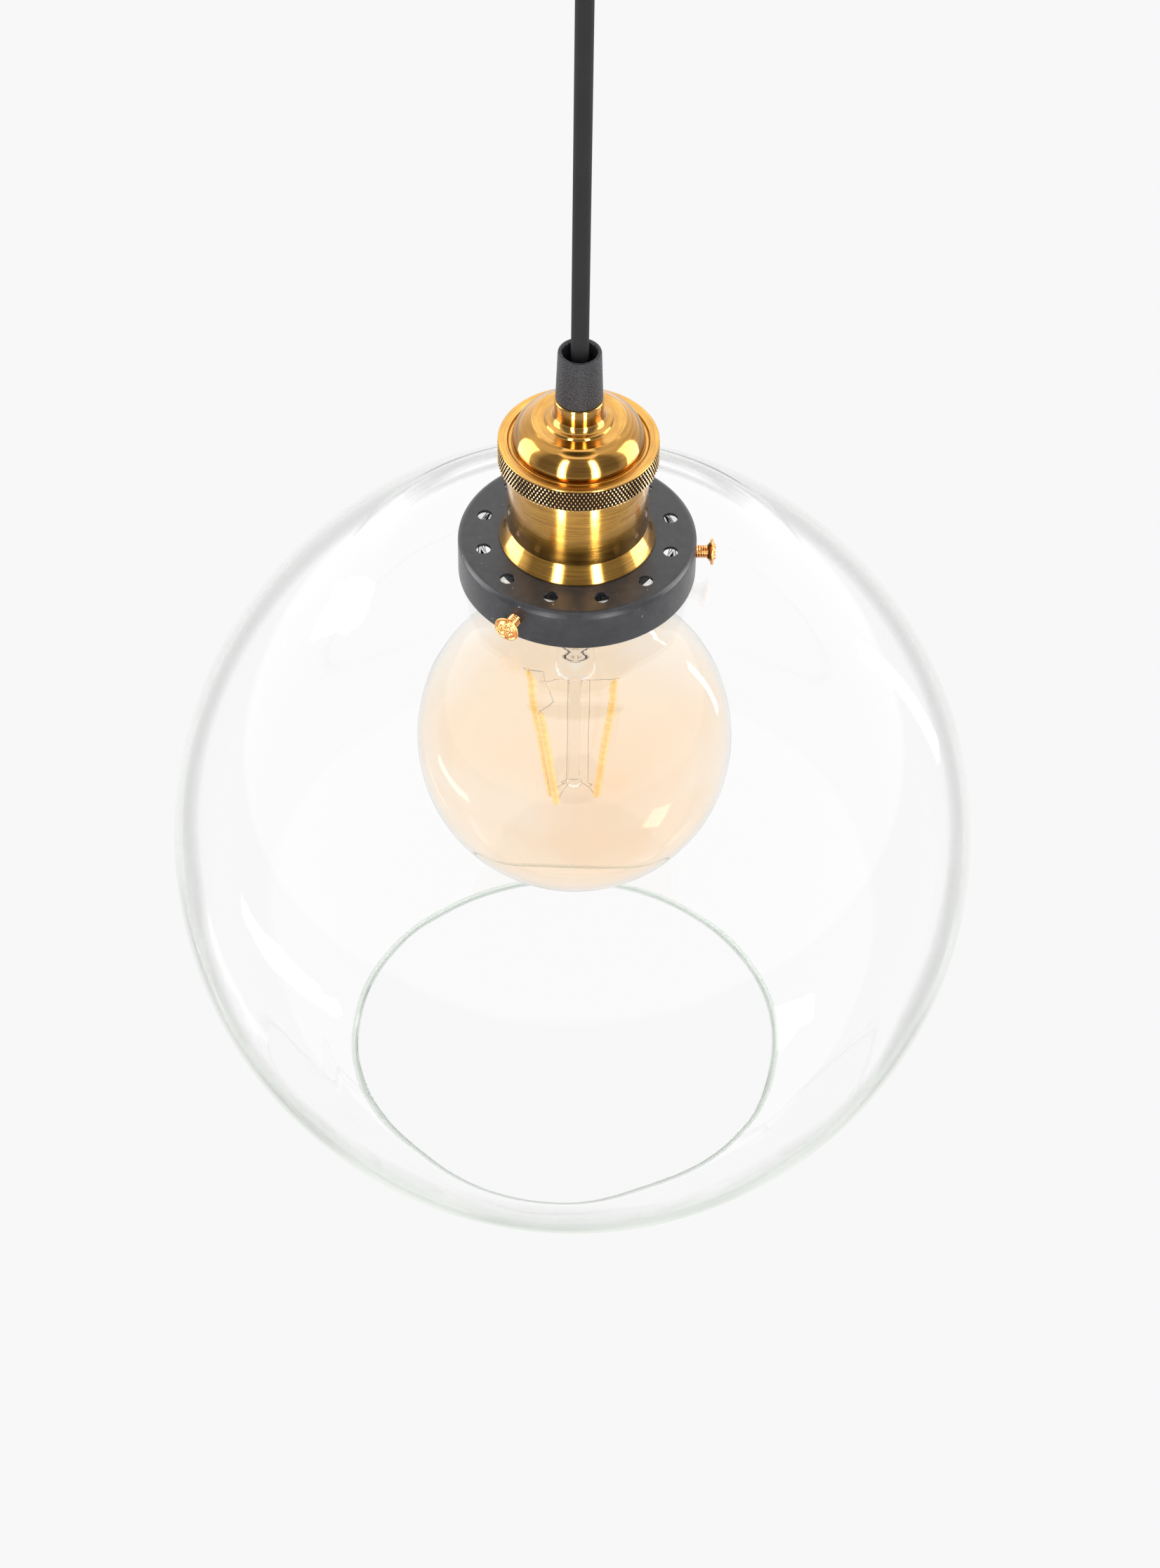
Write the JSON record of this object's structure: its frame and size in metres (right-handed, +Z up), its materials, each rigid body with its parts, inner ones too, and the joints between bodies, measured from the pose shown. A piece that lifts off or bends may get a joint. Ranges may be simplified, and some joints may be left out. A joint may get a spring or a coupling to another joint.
{
  "type": "pendant ceiling light",
  "caption": "Pendant light: ceiling cup, cord, brass lampholder, black gallery plate with thumb screws, open clear glass globe and amber filament bulb.",
  "frame": {"origin": "centre of the ceiling strap's top face, on the ceiling plane", "axes": "+Z up out of the ceiling strap, -Z down the cord to the globe's mouth; +X towards the right thumb screw; -Y is the front"},
  "size_m": [0.25, 0.25, 0.4855],
  "materials": {
    "zinc_steel": "zinc-plated steel",
    "black_powder_coat": "satin black powder coat with a fine speckle",
    "copper_gold": "bright copper-gold plating",
    "white_plastic": "matt moulded plastic",
    "bright_brass": "plain machined brass",
    "black_plastic": "fine-grained matt moulded plastic",
    "black_cord": "smooth matt cord sheath",
    "brown_insulation": "smooth core insulation",
    "blue_insulation": "smooth core insulation",
    "green_insulation": "smooth core insulation",
    "antique_brass": "antique brass, finely brushed round the axis",
    "white_ceramic": "fired electrical porcelain",
    "clear_glass": "clear blown glass",
    "amber_glass": "pale amber tinted blown glass",
    "black_glass": "black vitrite insulator",
    "nickel_plate": "nickel plate",
    "yellow_phosphor": "yellow phosphor coating",
    "circuit_board": "bare circuit board laminate"
  },
  "bodies": {
    "ceiling": {"ceiling_bracket": "zinc_steel", "ceiling_cup": "black_powder_coat", "cup_side_screws": "copper_gold", "terminal_block": "white_plastic", "terminal_inserts": "bright_brass", "terminal_screws": "zinc_steel", "block_screw": "zinc_steel", "ceiling_cord_grip": "black_plastic", "ceiling_grip_screw": "black_plastic", "ceiling_nipple": "bright_brass", "ceiling_lock_nut": "bright_brass", "ceiling_cord_tail": "black_cord", "ceiling_live_wire": "brown_insulation", "ceiling_neutral_wire": "blue_insulation", "ceiling_earth_wire": "green_insulation"},
    "cord": {"supply_cord": "black_cord"},
    "lamp": {"cord_grip_sleeve": "black_plastic", "grip_set_screw": "black_plastic", "threaded_nipple": "bright_brass", "nipple_lock_nut": "bright_brass", "earth_tab": "zinc_steel", "lamp_cord_tail": "black_cord", "holder_live_wire": "brown_insulation", "holder_neutral_wire": "blue_insulation", "holder_earth_wire": "green_insulation", "holder_cap": "antique_brass", "holder_body": "antique_brass", "socket_core": "white_ceramic", "socket_shell": "bright_brass", "centre_contact": "bright_brass", "shell_terminal": "bright_brass", "tip_terminal": "bright_brass", "holder_terminal_screws": "zinc_steel", "gallery_plate": "black_powder_coat", "shade_ring": "black_plastic", "glass_globe": "clear_glass"},
    "thumb_screw_right": {"thumb_screw_right": "copper_gold"},
    "thumb_screw_back": {"thumb_screw_back": "copper_gold"},
    "thumb_screw_front": {"thumb_screw_front": "copper_gold"},
    "bulb": {"bulb_envelope": "amber_glass", "bulb_screw_cap": "nickel_plate", "bulb_insulator": "black_glass", "bulb_contact": "nickel_plate", "bulb_stem": "clear_glass", "led_filaments": "yellow_phosphor", "bulb_support_wires": "nickel_plate", "bulb_driver_board": "circuit_board", "bulb_driver_parts": "black_plastic", "bulb_lead_wires": "nickel_plate"}
  },
  "joints": [
    {"name": "cord_swing", "type": "hinge", "parent": "ceiling", "child": "cord", "pos_m": [0, 0, -0.0404], "axis": [1, 0, 0], "range_deg": [-20, 20]},
    {"name": "lamp_swing", "type": "hinge", "parent": "cord", "child": "lamp", "pos_m": [0, 0, -0.1929], "axis": [0, 1, 0], "range_deg": [-15, 15]},
    {"name": "screw_right_travel", "type": "slide", "parent": "lamp", "child": "thumb_screw_right", "axis": [1, 0, 0], "range_m": [0, 0.004]},
    {"name": "screw_back_travel", "type": "slide", "parent": "lamp", "child": "thumb_screw_back", "axis": [-0.5, 0.866, 0], "range_m": [0, 0.004]},
    {"name": "screw_front_travel", "type": "slide", "parent": "lamp", "child": "thumb_screw_front", "axis": [-0.5, -0.866, 0], "range_m": [0, 0.004]},
    {"name": "bulb_removal", "type": "slide", "parent": "lamp", "child": "bulb", "axis": [0, 0, -1], "range_m": [0, 0.245]}
  ]
}
